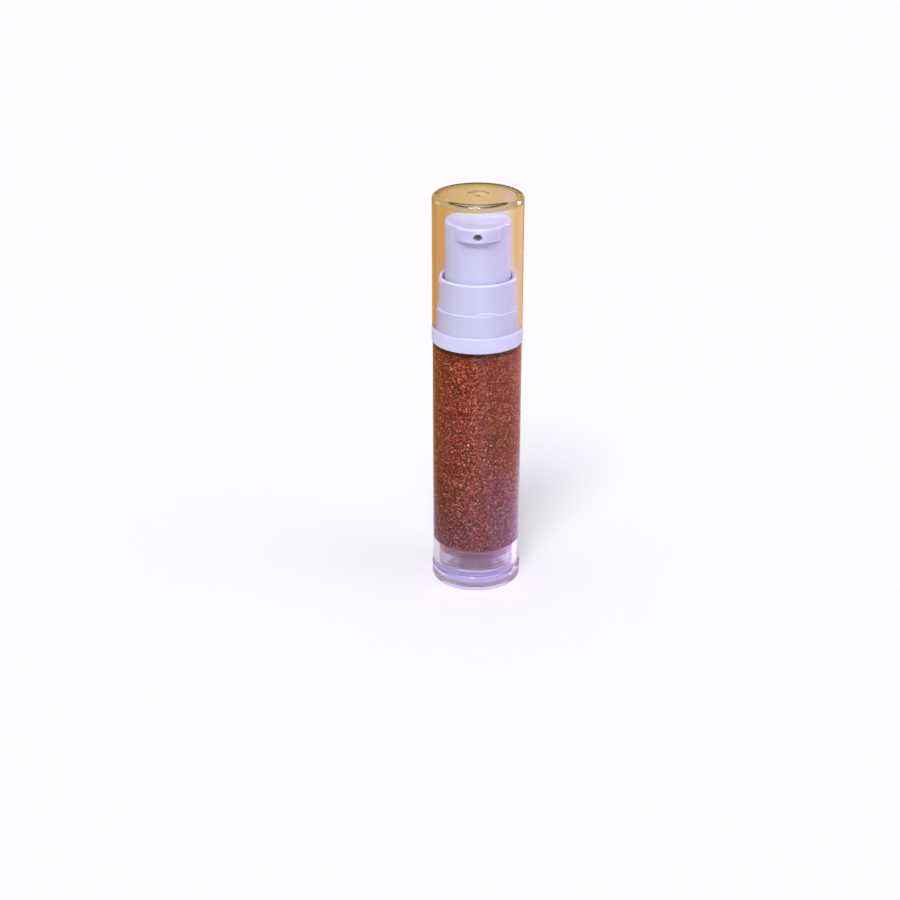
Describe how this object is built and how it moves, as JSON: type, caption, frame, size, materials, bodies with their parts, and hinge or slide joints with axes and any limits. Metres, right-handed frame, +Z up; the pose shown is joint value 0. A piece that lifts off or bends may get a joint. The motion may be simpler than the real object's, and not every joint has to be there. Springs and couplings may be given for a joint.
{
  "type": "airless pump bottle",
  "caption": "Slim clear airless pump bottle for lip gloss, with a pull-off clear overcap, a white push head with a visor nozzle and a rising follower piston.",
  "frame": {"origin": "centre of the base ring's underside, on the surface the bottle stands on", "axes": "+Z up along the bottle's axis, -Y towards the nozzle's outlet, +X to the right seen from the nozzle's side"},
  "size_m": [0.02, 0.02, 0.09],
  "materials": {
    "clear_cap": "polished clear styrene",
    "clear_body": "polished clear styrene acrylonitrile",
    "white_head": "satin moulded polypropylene",
    "pump_natural": "natural polypropylene",
    "pump_white": "moulded acetal",
    "seal_pe": "natural low density polyethylene",
    "gasket": "soft elastomer",
    "spring_steel": "drawn stainless wire",
    "ball_steel": "polished stainless ball",
    "gloss": "burgundy gel full of fine copper and pink glitter"
  },
  "bodies": {
    "bottle": {"bottle_body": "clear_body", "base_cap": "clear_body", "collar": "white_head", "pump_housing": "pump_natural", "retainer": "pump_white", "neck_gasket": "gasket", "return_spring": "spring_steel", "gloss_fill": "gloss"},
    "overcap": {"overcap": "clear_cap"},
    "pump_stem": {"stem": "pump_white", "plunger_rod": "pump_white"},
    "push_head": {"actuator": "white_head"},
    "seal_piston": {"seal_piston": "seal_pe"},
    "inlet_ball": {"inlet_ball": "ball_steel"},
    "follower": {"follower_piston": "seal_pe"}
  },
  "joints": [
    {"name": "overcap_pull", "type": "slide", "parent": "bottle", "child": "overcap", "axis": [0, 0, 1], "range_m": [0, 0.03]},
    {"name": "pump_press", "type": "slide", "parent": "bottle", "child": "pump_stem", "axis": [0, 0, -1], "range_m": [0, 0.0046], "stiffness_N_per_m": 1500, "springref_m": -0.005, "deforming": ["return_spring"]},
    {"name": "head_swivel", "type": "hinge", "parent": "pump_stem", "child": "push_head", "pos_m": [0, 0, 0.078], "axis": [0, 0, 1], "continuous": true},
    {"name": "piston_follow", "type": "slide", "parent": "bottle", "child": "seal_piston", "axis": [0, 0, -1], "range_m": [0, 0.0038]},
    {"name": "inlet_ball_lift", "type": "slide", "parent": "bottle", "child": "inlet_ball", "axis": [0, 0, 1], "range_m": [0, 0.0008]},
    {"name": "follower_rise", "type": "slide", "parent": "bottle", "child": "follower", "axis": [0, 0, 1], "range_m": [0, 0.0448], "deforming": ["gloss_fill"]}
  ],
  "couplings": [
    {"joint": "piston_follow", "follows": "pump_press", "ratio": 0.826}
  ]
}
